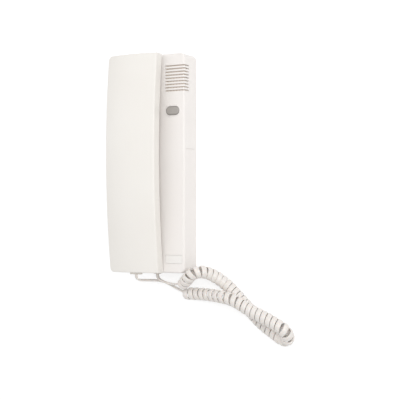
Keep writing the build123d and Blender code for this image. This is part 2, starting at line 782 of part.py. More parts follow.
# Handset front shell: crowned and bowed, open at its back
handset_screw_y = cup_y - cup_radius - handset_screw_from_cup
handset_screw_places = [(handset_x, end * handset_screw_y) for end in (-1, 1)]
handset_exit_z = rear_edge_z + handset_exit_rise
with BuildPart() as handset_front:
    add(bowed_bar(0, rear_radius, front_radius, handset_crown))
    with BuildSketch(Plane.XY.offset(housing_depth - cut_over)):
        add(handset_plan(0))
    extrude(amount=2 * (handset_bow + handset_side + handset_crown), mode=Mode.INTERSECT)
    rim_radius = rear_radius + handset_side * handset_rim_share
    front_rim = handset_front.edges().filter_by(
        lambda edge: math.hypot(edge.center().Y - handset_bow_peak, edge.center().Z - bow_axis_z) > rim_radius)
    fillet(front_rim, radius=handset_edge)
    with BuildPart(mode=Mode.PRIVATE) as handset_hollow:
        add(bowed_bar(
            handset_wall, rear_radius - cut_over, front_radius - handset_wall, handset_crown))
        with BuildSketch(Plane.XY.offset(housing_depth - 2 * cut_over)):
            add(handset_plan(handset_wall))
        extrude(amount=2 * (handset_bow + handset_side + handset_crown), mode=Mode.INTERSECT)
    add(handset_hollow.part, mode=Mode.SUBTRACT)
    for x, y in handset_screw_places:
        boss_low = Plane.XY.offset(fit_gap + max(
            height_on_bow(plate_radius, y + side * handset_boss_radius) for side in (-1, 1)))
        with BuildSketch(boss_low):
            with Locations((x, y)):
                Circle(handset_boss_radius)
        extrude(amount=handset_side + handset_crown - handset_plate - handset_wall / 2 - fit_gap)
        with BuildSketch(boss_low):
            with Locations((x, y)):
                Circle(handset_screw_radius + running_gap)
        extrude(amount=handset_screw_length - handset_plate, mode=Mode.SUBTRACT)
    with BuildSketch(Plane.XZ.offset(housing_top - handset_wall - cut_over)):
        with Locations((handset_x, handset_exit_z)):
            RectangleRounded(
                handset_relief_width - 2 * relief_flange + 2 * relief_neck_gap,
                handset_relief_height - 2 * relief_flange + 2 * relief_neck_gap, relief_edge)
    extrude(amount=handset_wall + 2 * cut_over, mode=Mode.SUBTRACT)
finish_part(handset_front, "handset_front")

# Handset rear shell: bowed plate with the ear and mouth cups
with BuildPart() as handset_rear:
    with BuildSketch(Plane.XY.offset(cup_bottom)):
        with Locations(*cup_centres):
            Circle(cup_radius)
    extrude(amount=handset_side + handset_crown + pocket_depth)
    fillet(handset_rear.faces().group_by(Axis.Z)[0].edges(), radius=pocket_edge)
    add(
        bowed_bar(handset_wall + fit_gap, rear_radius - 2 * pocket_depth, plate_radius, 0),
        mode=Mode.INTERSECT)
    with BuildPart(mode=Mode.PRIVATE) as handset_cover_plate:
        add(bowed_bar(handset_wall + fit_gap, rear_radius, plate_radius, 0))
        with BuildSketch(Plane.XY.offset(housing_depth - cut_over)):
            add(handset_plan(handset_wall + fit_gap))
        extrude(amount=2 * (handset_bow + handset_side), mode=Mode.INTERSECT)
    add(handset_cover_plate.part)
    with BuildSketch(Plane.XY.offset(cup_floor)):
        with Locations(*cup_centres):
            Circle(cup_radius - cup_wall)
    extrude(amount=handset_side + handset_crown + pocket_depth, mode=Mode.SUBTRACT)
    with BuildSketch(Plane.XY.offset(cup_bottom)):
        with Locations(cup_centres[0]):
            with PolarLocations(ear_ring_radius, ear_ring_holes):
                Circle(ear_hole_radius)
            Circle(ear_hole_radius)
        with Locations(cup_centres[1]):
            Circle(mouth_hole_radius)
    extrude(amount=cup_wall, mode=Mode.SUBTRACT)
    with BuildSketch(Plane.XY.offset(cup_floor)):
        with Locations(cup_centres[1]):
            Circle(microphone_radius + microphone_boot_wall + fit_gap + microphone_rib_wall)
            Circle(microphone_radius + microphone_boot_wall + fit_gap, mode=Mode.SUBTRACT)
    extrude(amount=microphone_rib_height)
    for x, y in handset_screw_places:
        screw_recess = Plane.XY.offset(height_on_bow(rear_radius, y) - cut_over)
        with BuildSketch(screw_recess):
            with Locations((x, y)):
                Circle(handset_screw_head_radius + fit_gap)
        extrude(amount=handset_screw_head_height + cut_over, mode=Mode.SUBTRACT)
        with BuildSketch(screw_recess):
            with Locations((x, y)):
                Circle(handset_screw_radius + running_gap)
        extrude(amount=2 * cut_over + 2 * handset_plate, mode=Mode.SUBTRACT)
finish_part(handset_rear, "handset_rear")

with BuildPart() as handset_screws:
    for x, y in handset_screw_places:
        head_low = height_on_bow(rear_radius, y)
        with BuildSketch(Plane.XY.offset(head_low)):
            with Locations((x, y)):
                Circle(handset_screw_head_radius)
        extrude(amount=handset_screw_head_height)
        with BuildSketch(Plane.XY.offset(head_low + handset_screw_head_height)):
            with Locations((x, y)):
                Circle(handset_screw_radius)
        extrude(amount=handset_screw_length - handset_screw_head_height)
finish_part(handset_screws, "handset_screws")

# Receiver: gasket, diaphragm and capsule in the ear cup
gasket_outer = cup_radius - cup_wall - fit_gap
receiver_low = cup_floor + gasket_thickness
with BuildPart() as receiver_gasket:
    with BuildSketch(Plane.XY.offset(cup_floor)):
        with Locations(cup_centres[0]):
            Circle(gasket_outer)
            Circle(gasket_outer - gasket_width, mode=Mode.SUBTRACT)
    extrude(amount=gasket_thickness)
finish_part(receiver_gasket, "receiver_gasket")

with BuildPart() as receiver_diaphragm:
    with BuildSketch(Plane.XY.offset(receiver_low - diaphragm_thickness)):
        with Locations(cup_centres[0]):
            Circle(gasket_outer - gasket_width - fit_gap)
    extrude(amount=diaphragm_thickness)
finish_part(receiver_diaphragm, "receiver_diaphragm")

with BuildPart() as receiver_capsule:
    with BuildSketch(Plane.XY.offset(receiver_low)):
        with Locations(cup_centres[0]):
            Circle(cup_radius - cup_wall - receiver_clearance)
    extrude(amount=receiver_height)
    with BuildSketch(Plane.XY.offset(receiver_low + receiver_height)):
        with Locations(cup_centres[0]):
            Circle(receiver_boss_radius)
    extrude(amount=receiver_boss_height)
finish_part(receiver_capsule, "receiver_capsule")

# Microphone and its rubber boot in the mouth cup
with BuildPart() as microphone:
    with BuildSketch(Plane.XY.offset(cup_floor)):
        with Locations(cup_centres[1]):
            Circle(microphone_radius)
    extrude(amount=microphone_height)
finish_part(microphone, "microphone")

with BuildPart() as microphone_boot:
    with BuildSketch(Plane.XY.offset(cup_floor)):
        with Locations(cup_centres[1]):
            Circle(microphone_radius + microphone_boot_wall)
    extrude(amount=microphone_height + microphone_boot_roof)
    with BuildSketch(Plane.XY.offset(cup_floor)):
        with Locations(cup_centres[1]):
            Circle(microphone_radius)
    extrude(amount=microphone_height, mode=Mode.SUBTRACT)
finish_part(microphone_boot, "microphone_boot")

# Strain relief of the handset
with BuildPart() as handset_relief:
    with BuildSketch(Plane.XZ.offset(housing_top)):
        with Locations((handset_x, handset_exit_z)):
            RectangleRounded(handset_relief_width, handset_relief_height, relief_edge)
    extrude(amount=relief_proud)
    fillet(handset_relief.faces().sort_by(Axis.Y)[0].edges(), radius=relief_edge)
    with BuildSketch(Plane.XZ.offset(housing_top - handset_wall)):
        with Locations((handset_x, handset_exit_z)):
            RectangleRounded(
                handset_relief_width - 2 * relief_flange, handset_relief_height - 2 * relief_flange,
                relief_edge)
    extrude(amount=handset_wall)
    with BuildSketch(Plane.XZ.offset(housing_top - handset_wall - relief_flange_thickness)):
        with Locations((handset_x, handset_exit_z)):
            RectangleRounded(handset_relief_width, handset_relief_height, relief_edge)
    extrude(amount=relief_flange_thickness)
finish_part(handset_relief, "handset_relief")


# Cord
run_share = 0.45


def lead_radii(points):
    """The largest even bend that each corner of a route has room for."""
    radii = []
    for before, corner, after in zip(points, points[1:], points[2:]):
        first = Vector(*corner) - Vector(*before)
        second = Vector(*after) - Vector(*corner)
        half_turn = math.radians(first.get_angle(second)) / 2
        radii.append(run_share * min(first.length, second.length) / math.tan(half_turn))
    return radii


def swept_lead(points, name):
    """A tube along straight runs and tangent arcs, with its bends and volume printed."""
    radii = lead_radii(points)
    with BuildPart() as lead:
        with BuildLine() as line:
            FilletPolyline(*points, radius=radii)
        with BuildSketch(Plane(origin=points[0], z_dir=Vector(*points[1]) - Vector(*points[0]))):
            Circle(cord_radius)
        sweep()
    length = line.wire().length
    ideal = math.pi * cord_radius**2 * length
    print(name, "radii", [round(radius, 1) for radius in radii], "length", round(length, 1),
          "volume share", round(lead.part.volume / ideal, 4))
    return lead


base_lead = swept_lead(base_lead_route, "base_lead")
finish_part(base_lead, "base_lead")
handset_lead = swept_lead(handset_lead_route, "handset_lead")
finish_part(handset_lead, "handset_lead")

# Curly cord: a helix round a smooth line through the middle of each pair of guide points
curve_steps = 96


def smooth_line(points, steps):
    """Closely spaced places along the curve that the guide points pull into shape."""
    corners = [Vector(*point) for point in points]
    places = []
    for k in range(1, len(corners) - 1):
        start = corners[0] if k == 1 else (corners[k - 1] + corners[k]) * 0.5
        end = corners[-1] if k == len(corners) - 2 else (corners[k] + corners[k + 1]) * 0.5
        for step in range(steps):
            t = step / steps
            places.append(start * (1 - t) ** 2 + corners[k] * (2 * t * (1 - t)) + end * t**2)
    places.append(corners[-1])
    return places


def carried_sideways(places):
    """A direction across the line at each place, carried along it without twist."""
    headings = [(b - a).normalized() for a, b in zip(places, places[1:])]
    headings.append(headings[-1])
    across = headings[0].cross(Vector(0, 0, 1)).normalized()
    sides = []
    for heading in headings:
        across = (across - heading * across.dot(heading)).normalized()
        sides.append(across)
    return headings, sides


def eased(share):
    """Rises smoothly from nothing to one."""
    share = min(max(share, 0.0), 1.0)
    return share * share * (3 - 2 * share)


def curl_radii(places):
    """Radius of the curls at each place: it grows from nothing over a short way at both ends."""
    travelled = [0.0]
    for a, b in zip(places, places[1:]):
        travelled.append(travelled[-1] + (b - a).length)
    return [
        curl_radius * eased(way / curl_ramp) * eased((travelled[-1] - way) / curl_ramp)
        for way in travelled]


def curl_angles(places, headings):
    """How far the cord has wound at each place: its curls open up round a bend and at both ends."""
    bends = [
        math.radians(a.get_angle(b)) / (q - p).length
        for a, b, p, q in zip(headings, headings[1:], places, places[1:])]
    reaches = curl_radii(places)
    angles = [0.0]
    window = curve_steps // 2
    for k in range(1, len(places)):
        bend = max(bends[max(k - window, 0):k + window])
        pitch = max(curl_pitch, (band_width + band_gap) / (1 - curl_radius * bend))
        if reaches[k] < curl_least_bend:
            reach = max(reaches[k], curl_least_bend / 2)
            pitch = max(pitch, 2 * math.pi * math.sqrt(reach * (curl_least_bend - reach)))
        angles.append(angles[-1] + 2 * math.pi * (places[k] - places[k - 1]).length / pitch)
    return angles


def curl_knots(places, headings, sides, angles):
    """Places and directions of the cord at each half turn of its curls."""
    halves = round(angles[-1] / math.pi)
    stretch = math.pi * halves / angles[-1]
    reaches = curl_radii(places)

    def winding(k):
        angle = angles[k] * stretch
        up = headings[k].cross(sides[k])
        return places[k] + (sides[k] * math.cos(angle) + up * math.sin(angle)) * reaches[k]

    path = [winding(k) for k in range(len(places))]
    knots = []
    k = 0
    for half in range(1, halves):
        goal = math.pi * half / stretch
        while angles[k + 1] < goal:
            k += 1
        part = (goal - angles[k]) / (angles[k + 1] - angles[k])
        place = path[k] * (1 - part) + path[k + 1] * part
        knots.append((place, (path[k + 1] - path[k]).normalized()))
    return knots


def two_arcs(start, start_way, end, end_way):
    """The joint of two arcs that leave start and reach end in the given directions."""
    chord = end - start
    both = start_way + end_way
    spread = 2 * (1 - start_way.dot(end_way))
    along = chord.dot(both)
    reach = (math.sqrt(along**2 + spread * chord.dot(chord)) - along) / spread
    first = start + start_way * reach
    second = end - end_way * reach
    return (first + second) * 0.5, (second - first).normalized()


curl_places = smooth_line(curl_route, curve_steps)
curl_start = curl_places[0]
curl_end = curl_places[-1]
start_way = (Vector(*curl_route[1]) - Vector(*curl_route[0])).normalized()
end_way = (Vector(*curl_route[-1]) - Vector(*curl_route[-2])).normalized()
straight = 2 * cord_radius
wound_places = [
    place for place in curl_places
    if (place - curl_start).length > straight and (place - curl_end).length > straight]
wound_places = [curl_start + start_way * straight] + wound_places + [curl_end - end_way * straight]
curl_headings, curl_sides = carried_sideways(wound_places)
curl_winding = curl_angles(wound_places, curl_headings)
knots = curl_knots(wound_places, curl_headings, curl_sides, curl_winding)
knots = [(wound_places[0], start_way)] + knots + [(wound_places[-1], end_way)]

with BuildPart() as curly_cord:
    with BuildLine() as curl_line:
        Line(curl_start, wound_places[0])
        for (start, leaving), (end, arriving) in zip(knots, knots[1:]):
            middle, crossing = two_arcs(start, leaving, end, arriving)
            TangentArc(start, middle, tangent=leaving)
            TangentArc(middle, end, tangent=crossing)
        Line(wound_places[-1], curl_end)
    with BuildSketch(Plane(origin=curl_start, z_dir=start_way)):
        Circle(cord_radius)
    sweep()
finish_part(curly_cord, "curly_cord")

# Least gap of the curls to each other, measured on points along them
samples = []
travelled = 0.0
for edge in curl_line.edges():
    for step in range(6):
        samples.append((travelled + edge.length * step / 6, tuple(edge @ (step / 6))))
    travelled += edge.length
least = min(
    math.dist(a[1], b[1]) for n, a in enumerate(samples) for b in samples[n + 1:]
    if b[0] - a[0] > 3 * curl_radius)
tightest = min(edge.radius for edge in curl_line.edges().filter_by(GeomType.CIRCLE))
print("curly_cord curls", (len(knots) - 1) / 2, "length", round(travelled, 1), "least gap",
      round(least - 2 * cord_radius, 2), "tightest arc", round(tightest, 2), "volume share",
      round(curly_cord.part.volume / (math.pi * cord_radius**2 * travelled), 4))
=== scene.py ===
"""A wall intercom phone: its housing, bowed handset and curly cord, dressed for a studio photograph."""

from __future__ import annotations

import logging
import math
from dataclasses import dataclass
from enum import Enum
from typing import Any

import bpy
from mathutils import Matrix, Vector

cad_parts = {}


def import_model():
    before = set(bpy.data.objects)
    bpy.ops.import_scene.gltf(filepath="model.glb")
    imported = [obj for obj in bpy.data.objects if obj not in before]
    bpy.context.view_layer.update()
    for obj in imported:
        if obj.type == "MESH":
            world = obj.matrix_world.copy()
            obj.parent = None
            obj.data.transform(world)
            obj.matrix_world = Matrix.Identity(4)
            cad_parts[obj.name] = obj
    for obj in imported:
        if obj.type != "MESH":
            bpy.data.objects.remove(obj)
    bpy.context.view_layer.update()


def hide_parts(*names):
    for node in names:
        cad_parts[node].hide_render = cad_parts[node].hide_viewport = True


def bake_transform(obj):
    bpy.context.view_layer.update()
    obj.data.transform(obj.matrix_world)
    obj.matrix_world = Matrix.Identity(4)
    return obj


log = logging.getLogger("intercom")

MM = 0.001
TINY = 1e-9
WHITE = (1.0, 1.0, 1.0, 1.0)
WAVE_RADIANS = 20.0  # what the phase of Blender's wave texture turns in one unit, at a scale of one
NOISE_LOW, NOISE_HIGH = 0.3, 0.7  # most of Blender's noise texture falls between these


class Body(Enum):
    """The rigid bodies that pieces ride on."""

    BASE = "base"
    HANDSET = "handset"


class Slot(Enum):
    """The record's material slots that new pieces take."""

    CORD = "cord_pvc"


def linear(colour: str) -> tuple[float, float, float, float]:
    """Turns an sRGB hex colour to linear light.

    Args:
        colour: Six hex digits after a hash.

    Returns:
        Linear red, green, blue and an alpha of one.
    """
    parts = [int(colour[k:k + 2], 16) / 255 for k in (1, 3, 5)]
    red, green, blue = (c / 12.92 if c <= 0.04045 else ((c + 0.055) / 1.055) ** 2.4 for c in parts)
    return red, green, blue, 1.0


def per_mm(size_mm: float) -> float:
    """Gives a texture's scale in object space, which is in metres.

    Args:
        size_mm: The size of its pattern.

    Returns:
        The scale.
    """
    return 1.0 / (size_mm * MM)


def wave_scale(pitch_mm: float) -> float:
    """Gives a wave texture's scale in object space.

    Args:
        pitch_mm: How far apart its bands are.

    Returns:
        The scale.
    """
    return 2 * math.pi * per_mm(pitch_mm) / WAVE_RADIANS


def add_node(
    tree: bpy.types.NodeTree,
    kind: str,
    values: dict[Any, Any] | None = None,
    links: dict[Any, bpy.types.NodeSocket] | None = None,
    **settings: Any,
) -> bpy.types.Node:
    """Adds a node with its settings and links.

    Args:
        tree: The node tree that it goes into.
        kind: The node's type.
        values: Input values by the input's name or number.
        links: Sockets that feed inputs, by the input's name or number.
        **settings: Properties of the node itself.

    Returns:
        The new node.
    """
    node = tree.nodes.new(kind)
    for name, value in settings.items():
        setattr(node, name, value)
    for name, value in (values or {}).items():
        node.inputs[name].default_value = value
    for name, socket in (links or {}).items():
        tree.links.new(socket, node.inputs[name])
    return node


def new_material(name: str) -> tuple[bpy.types.Material, bpy.types.NodeTree, bpy.types.Node]:
    """Makes an empty material with its surface shader.

    Args:
        name: What the real material is and how it was made.

    Returns:
        The material, its node tree and its Principled BSDF.
    """
    material = bpy.data.materials.new(name)
    material.use_nodes = True
    tree = material.node_tree
    tree.nodes.clear()
    shader = add_node(tree, "ShaderNodeBsdfPrincipled")
    add_node(tree, "ShaderNodeOutputMaterial", links={"Surface": shader.outputs["BSDF"]})
    return material, tree, shader


@dataclass(frozen=True)
class MouldedPlastic:
    """Injection moulded plastic with the fine texture that a spark-eroded mould leaves."""

    name: str
    colour: str
    tint: str
    roughness: float = 0.42
    roughness_spread: float = 0.05
    grain_mm: float = 0.45
    grain_depth_mm: float = 0.012
    cloud_mm: float = 46.0
    edge_mm: float = 0.35
    ior: float = 1.53

    def make(self) -> bpy.types.Material:
        """Builds the material: a soft satin skin, slightly clouded, with softened edges.

        Returns:
            The material.
        """
        material, tree, shader = new_material(self.name)
        place = add_node(tree, "ShaderNodeTexCoord").outputs["Object"]
        cloud = add_node(
            tree, "ShaderNodeTexNoise", {"Scale": per_mm(self.cloud_mm), "Detail": 3.0, "Roughness": 0.45},
            {"Vector": place})
        colour = add_node(
            tree, "ShaderNodeMix", {6: linear(self.colour), 7: linear(self.tint)},
            {0: cloud.outputs["Fac"]}, data_type="RGBA")
        tree.links.new(colour.outputs[2], shader.inputs["Base Color"])
        grain = add_node(
            tree, "ShaderNodeTexNoise", {"Scale": per_mm(self.grain_mm), "Detail": 2.0, "Roughness": 0.6},
            {"Vector": place})
        skin = add_node(
            tree, "ShaderNodeMapRange",
            {"From Min": NOISE_LOW, "From Max": NOISE_HIGH, "To Min": self.roughness - self.roughness_spread,
             "To Max": self.roughness + self.roughness_spread},
            {"Value": grain.outputs["Fac"]})
        tree.links.new(skin.outputs["Result"], shader.inputs["Roughness"])
        soft = add_node(tree, "ShaderNodeBevel", {"Radius": self.edge_mm * MM}, samples=4)
        bump = add_node(
            tree, "ShaderNodeBump", {"Strength": 0.6, "Distance": self.grain_depth_mm * MM},
            {"Height": grain.outputs["Fac"], "Normal": soft.outputs["Normal"]})
        tree.links.new(bump.outputs["Normal"], shader.inputs["Normal"])
        shader.inputs["IOR"].default_value = self.ior
        return material


@dataclass(frozen=True)
class ExtrudedVinyl:
    """Soft PVC drawn through a die, then wound hot on a rod: a waxy sheen with faint draw lines."""

    name: str
    colour: str
    tint: str
    roughness: float = 0.38
    line_mm: float = 1.6
    line_depth_mm: float = 0.03
    # The tint of the painted shade between the curls, blended in where ambient occlusion finds them close.
    dust_and_shade: str = "#9c8f84"
    shade_reach_mm: float = 1.6
    shaded_below: float = 0.3
    unshaded_above: float = 0.75
    ior: float = 1.54
    glow_through: float = 0.12
    glow_reach_mm: tuple[float, float, float] = (1.2, 0.9, 0.7)

    def make(self) -> bpy.types.Material:
        """Builds the material, a little translucent at its thin edges, with painted shade between its curls.

        Returns:
            The material.
        """
        material, tree, shader = new_material(self.name)
        place = add_node(tree, "ShaderNodeTexCoord").outputs["Object"]
        waves = add_node(
            tree, "ShaderNodeTexNoise", {"Scale": per_mm(self.line_mm), "Detail": 3.0, "Roughness": 0.5},
            {"Vector": place})
        colour = add_node(
            tree, "ShaderNodeMix", {6: linear(self.colour), 7: linear(self.tint)},
            {0: waves.outputs["Fac"]}, data_type="RGBA")
        # Painted shade: where ambient occlusion finds neighbouring curls close, the colour darkens towards
        # the shade tint.
        openness = add_node(
            tree, "ShaderNodeAmbientOcclusion", {"Distance": self.shade_reach_mm * MM}, samples=8)
        unshaded = add_node(
            tree, "ShaderNodeMapRange", {"From Min": self.shaded_below, "From Max": self.unshaded_above},
            {"Value": openness.outputs["AO"]})
        painted_shade = add_node(
            tree, "ShaderNodeMix", {6: linear(self.dust_and_shade)},
            {0: unshaded.outputs["Result"], 7: colour.outputs[2]}, data_type="RGBA")
        tree.links.new(painted_shade.outputs[2], shader.inputs["Base Color"])
        bump = add_node(
            tree, "ShaderNodeBump", {"Strength": 0.3, "Distance": self.line_depth_mm * MM},
            {"Height": waves.outputs["Fac"]})
        tree.links.new(bump.outputs["Normal"], shader.inputs["Normal"])
        shader.inputs["Roughness"].default_value = self.roughness
        shader.inputs["IOR"].default_value = self.ior
        shader.inputs["Subsurface Weight"].default_value = self.glow_through
        shader.inputs["Subsurface Radius"].default_value = tuple(reach * MM for reach in self.glow_reach_mm)
        return material


@dataclass(frozen=True)
class PlatedMetal:
    """Metal turned or drawn, then plated: faint tool rings under a thin bright coat."""

    name: str
    colour: str
    roughness: float = 0.32
    ring_mm: float = 1.885
    ring_depth_mm: float = 0.01

    def make(self) -> bpy.types.Material:
        """Builds the material, its rings running round Z as a lathe leaves them.

        Returns:
            The material.
        """
        material, tree, shader = new_material(self.name)
        place = add_node(tree, "ShaderNodeTexCoord").outputs["Object"]
        rings = add_node(
            tree, "ShaderNodeTexWave",
            {"Scale": wave_scale(self.ring_mm), "Distortion": 1.5, "Detail": 2.0},
            {"Vector": place}, wave_type="BANDS", bands_direction="Z")
        bump = add_node(
            tree, "ShaderNodeBump", {"Strength": 0.25, "Distance": self.ring_depth_mm * MM},
            {"Height": rings.outputs["Fac"]})
        tree.links.new(bump.outputs["Normal"], shader.inputs["Normal"])
        shader.inputs["Base Color"].default_value = linear(self.colour)
        shader.inputs["Metallic"].default_value = 1.0
        shader.inputs["Roughness"].default_value = self.roughness
        return material


@dataclass(frozen=True)
class PrintedLaminate:
    """Glass-epoxy board under green lacquer: copper tracks show as paler lines."""

    name: str = "Lacquered glass epoxy"
    lacquer: str = "#1c6b3c"
    track: str = "#3f9a5a"
    track_mm: float = 2.6
    track_edge: tuple[float, float] = (0.42, 0.46)
    track_depth_mm: float = 0.035
    roughness: float = 0.28

    def make(self) -> bpy.types.Material:
        """Builds the material, its tracks drawn by squared-off cells.

        Returns:
            The material.
        """
        material, tree, shader = new_material(self.name)
        place = add_node(tree, "ShaderNodeTexCoord").outputs["Object"]
        tracks = add_node(
            tree, "ShaderNodeTexVoronoi", {"Scale": per_mm(self.track_mm)}, {"Vector": place},
            feature="F1", distance="CHEBYCHEV")
        low, high = self.track_edge
        edge = add_node(
            tree, "ShaderNodeMapRange", {"From Min": low, "From Max": high},
            {"Value": tracks.outputs["Distance"]})
        colour = add_node(
            tree, "ShaderNodeMix", {6: linear(self.lacquer), 7: linear(self.track)},
            {0: edge.outputs["Result"]}, data_type="RGBA")
        tree.links.new(colour.outputs[2], shader.inputs["Base Color"])
        bump = add_node(
            tree, "ShaderNodeBump", {"Strength": 0.5, "Distance": self.track_depth_mm * MM},
            {"Height": edge.outputs["Result"]})
        tree.links.new(bump.outputs["Normal"], shader.inputs["Normal"])
        shader.inputs["Roughness"].default_value = self.roughness
        return material


@dataclass(frozen=True)
class WovenCloth:
    """Acoustic polyester cloth: a plain weave, drawn coarse enough to show behind the slots."""

    name: str
    thread: str
    gap: str
    thread_mm: float = 3.1416
    thread_depth_mm: float = 0.1
    roughness: float = 0.9

    def make(self) -> bpy.types.Material:
        """Builds the material from two crossed sets of threads.

        Returns:
            The material.
        """
        material, tree, shader = new_material(self.name)
        place = add_node(tree, "ShaderNodeTexCoord").outputs["Object"]
        sets = [
            add_node(
                tree, "ShaderNodeTexWave", {"Scale": wave_scale(self.thread_mm), "Distortion": 0.6},
                {"Vector": place}, wave_type="BANDS", bands_direction=way)
            for way in ("X", "Y")]
        weave = add_node(
            tree, "ShaderNodeMath", links={0: sets[0].outputs["Fac"], 1: sets[1].outputs["Fac"]},
            operation="MULTIPLY")
        colour = add_node(
            tree, "ShaderNodeMix", {6: linear(self.gap), 7: linear(self.thread)},
            {0: weave.outputs["Value"]}, data_type="RGBA")
        tree.links.new(colour.outputs[2], shader.inputs["Base Color"])
        bump = add_node(
            tree, "ShaderNodeBump", {"Strength": 0.7, "Distance": self.thread_depth_mm * MM},
            {"Height": weave.outputs["Value"]})
        tree.links.new(bump.outputs["Normal"], shader.inputs["Normal"])
        shader.inputs["Roughness"].default_value = self.roughness
        return material


@dataclass(frozen=True)
class MouldedRubber:
    """Compression moulded rubber: dark, dull and slightly dusty."""

    name: str = "Moulded EPDM rubber"
    colour: str = "#1b1b1c"
    # The rubber's real dust colour, laid in random soft patches.
    dust_and_shade: str = "#3a3937"
    dust_mm: float = 3.0
    dust_depth_mm: float = 0.03
    roughness: float = 0.75

    def make(self) -> bpy.types.Material:
        """Builds the material, with dust in soft patches.

        Returns:
            The material.
        """
        material, tree, shader = new_material(self.name)
        place = add_node(tree, "ShaderNodeTexCoord").outputs["Object"]
        dust_and_shade = add_node(
            tree, "ShaderNodeTexNoise", {"Scale": per_mm(self.dust_mm), "Detail": 4.0}, {"Vector": place})
        colour = add_node(
            tree, "ShaderNodeMix", {6: linear(self.colour), 7: linear(self.dust_and_shade)},
            {0: dust_and_shade.outputs["Fac"]}, data_type="RGBA")
        tree.links.new(colour.outputs[2], shader.inputs["Base Color"])
        bump = add_node(
            tree, "ShaderNodeBump", {"Strength": 0.4, "Distance": self.dust_depth_mm * MM},
            {"Height": dust_and_shade.outputs["Fac"]})
        tree.links.new(bump.outputs["Normal"], shader.inputs["Normal"])
        shader.inputs["Roughness"].default_value = self.roughness
        return material


def dress(names: tuple[str, ...], finish: bpy.types.Material) -> None:
    """Puts a finish on every material slot of the named solids.

    Args:
        names: The nodes to dress.
        finish: Their new material.
    """
    for name in names:
        mesh = bpy.data.objects[name].data
        if not mesh.materials:
            mesh.materials.append(finish)
        for k in range(len(mesh.materials)):
            mesh.materials[k] = finish
        log.info("dressed %s in %s", name, finish.name)


@dataclass
class Housing:
    """The wall housing: cover, back plate, grille, name plate and door button."""

    shell: MouldedPlastic = MouldedPlastic("Spark-textured white ABS", "#f1edea", "#ede8e4")
    plate: MouldedPlastic = MouldedPlastic(
        "Polished clear-coated polycarbonate", "#f0edea", "#edeae6", roughness=0.22, grain_depth_mm=0.002)
    button: MouldedPlastic = MouldedPlastic(
        "Spark-textured grey ABS", "#aaa5a0", "#a19c97", roughness=0.4, grain_mm=0.35)
    cloth: WovenCloth = WovenCloth("Woven acoustic polyester", "#f0e6dc", "#dccfc3")
    screw: PlatedMetal = PlatedMetal("Zinc-plated turned steel", "#b9bbbd")

    def build(self) -> None:
        """Dresses the housing's solids."""
        dress(("front_cover", "back_plate"), self.shell.make())
        dress(("name_plate",), self.plate.make())
        dress(("door_button",), self.button.make())
        dress(("grille_cloth",), self.cloth.make())
        dress(
            ("cover_screws", "board_screws", "terminal_screws", "hook_pin", "hook_spring", "handset_screws"),
            self.screw.make())


@dataclass
class Works:
    """What the housing hides: the board and its pieces, the ringer and the cradle switch."""

    board: PrintedLaminate = PrintedLaminate()
    black: MouldedPlastic = MouldedPlastic(
        "Moulded black epoxy", "#1d1c1c", "#262524", roughness=0.5, grain_mm=0.3)
    green: MouldedPlastic = MouldedPlastic("Moulded green polyamide", "#2f8f55", "#2a8049", roughness=0.45)
    lever: MouldedPlastic = MouldedPlastic("Moulded white acetal", "#ecebe7", "#e4e2dd", roughness=0.3)
    body: MouldedPlastic = MouldedPlastic("Lacquered resistor ceramic", "#cdb48a", "#bfa376", roughness=0.35)
    film: MouldedPlastic = MouldedPlastic(
        "Pressed polyester film", "#d8d6d0", "#cfccc5", roughness=0.2, grain_depth_mm=0.003)
    magnet: PlatedMetal = PlatedMetal("Nickel-plated sintered magnet", "#a9a7a2", 0.25)
    can: PlatedMetal = PlatedMetal("Deep-drawn aluminium", "#cfd0d2", 0.3)
    rubber: MouldedRubber = MouldedRubber()

    def build(self) -> None:
        """Dresses the hidden solids."""
        dress(("circuit_board",), self.board.make())
        dress(
            ("ringer_frame", "button_switch", "switch_plunger", "hook_switch", "hook_plunger", "capacitors",
             "amplifier_chip", "receiver_capsule"), self.black.make())
        dress(("terminal_block",), self.green.make())
        dress(("hook_lever",), self.lever.make())
        dress(("resistors",), self.body.make())
        dress(("ringer_cone", "receiver_diaphragm"), self.film.make())
        dress(("ringer_magnet",), self.magnet.make())
        dress(("microphone",), self.can.make())
        dress(("receiver_gasket", "microphone_boot"), self.rubber.make())


@dataclass
class Handset:
    """The bowed handset: its crowned front shell and the rear shell with both cups."""

    shell: MouldedPlastic = MouldedPlastic(
        "Spark-textured warm white ABS", "#efece7", "#eae6e0", roughness=0.38)

    def build(self) -> None:
        """Dresses the handset's shells."""
        dress(("handset_front", "handset_rear"), self.shell.make())


BASE_LEAD_MM = (
    (1.7, -104.3, 11.0), (1.7, -107.0, 11.0), (3.3, -109.2, 11.0), (6.8, -110.9, 11.2),
    (11.7, -112.4, 11.5), (17.5, -113.3, 12.3), (23.5, -113.4, 13.7))
CURLS_MM = (
    (29.5, -112.8, 15.5), (34.5, -111.8, 17.0), (39.5, -108.1, 20.0), (44.4, -103.7, 21.8),
    (50.0, -100.9, 20.8), (55.3, -100.8, 17.0), (60.0, -102.9, 12.6), (65.0, -106.3, 8.9),
    (70.6, -110.3, 6.5), (76.6, -115.3, 6.0), (83.2, -121.4, 6.0), (90.0, -128.0, 6.0),
    (97.3, -135.1, 6.0), (105.0, -142.6, 6.0), (112.4, -148.8, 6.0), (118.6, -152.5, 6.2),
    (124.2, -156.2, 6.2), (130.1, -159.9, 6.2), (136.3, -159.5, 9.7), (139.2, -155.2, 14.7),
    (136.9, -149.3, 18.4), (130.6, -145.7, 19.0), (122.3, -141.5, 19.4), (113.6, -137.8, 19.8),
    (105.1, -134.0, 20.2), (97.0, -129.7, 20.9), (88.5, -125.4, 20.8), (78.9, -123.4, 19.4),
    (67.3, -122.7, 14.6), (53.4, -122.3, 8.6), (41.5, -122.3, 6.0), (32.4, -122.6, 6.0),
    (27.6, -120.8, 6.0))
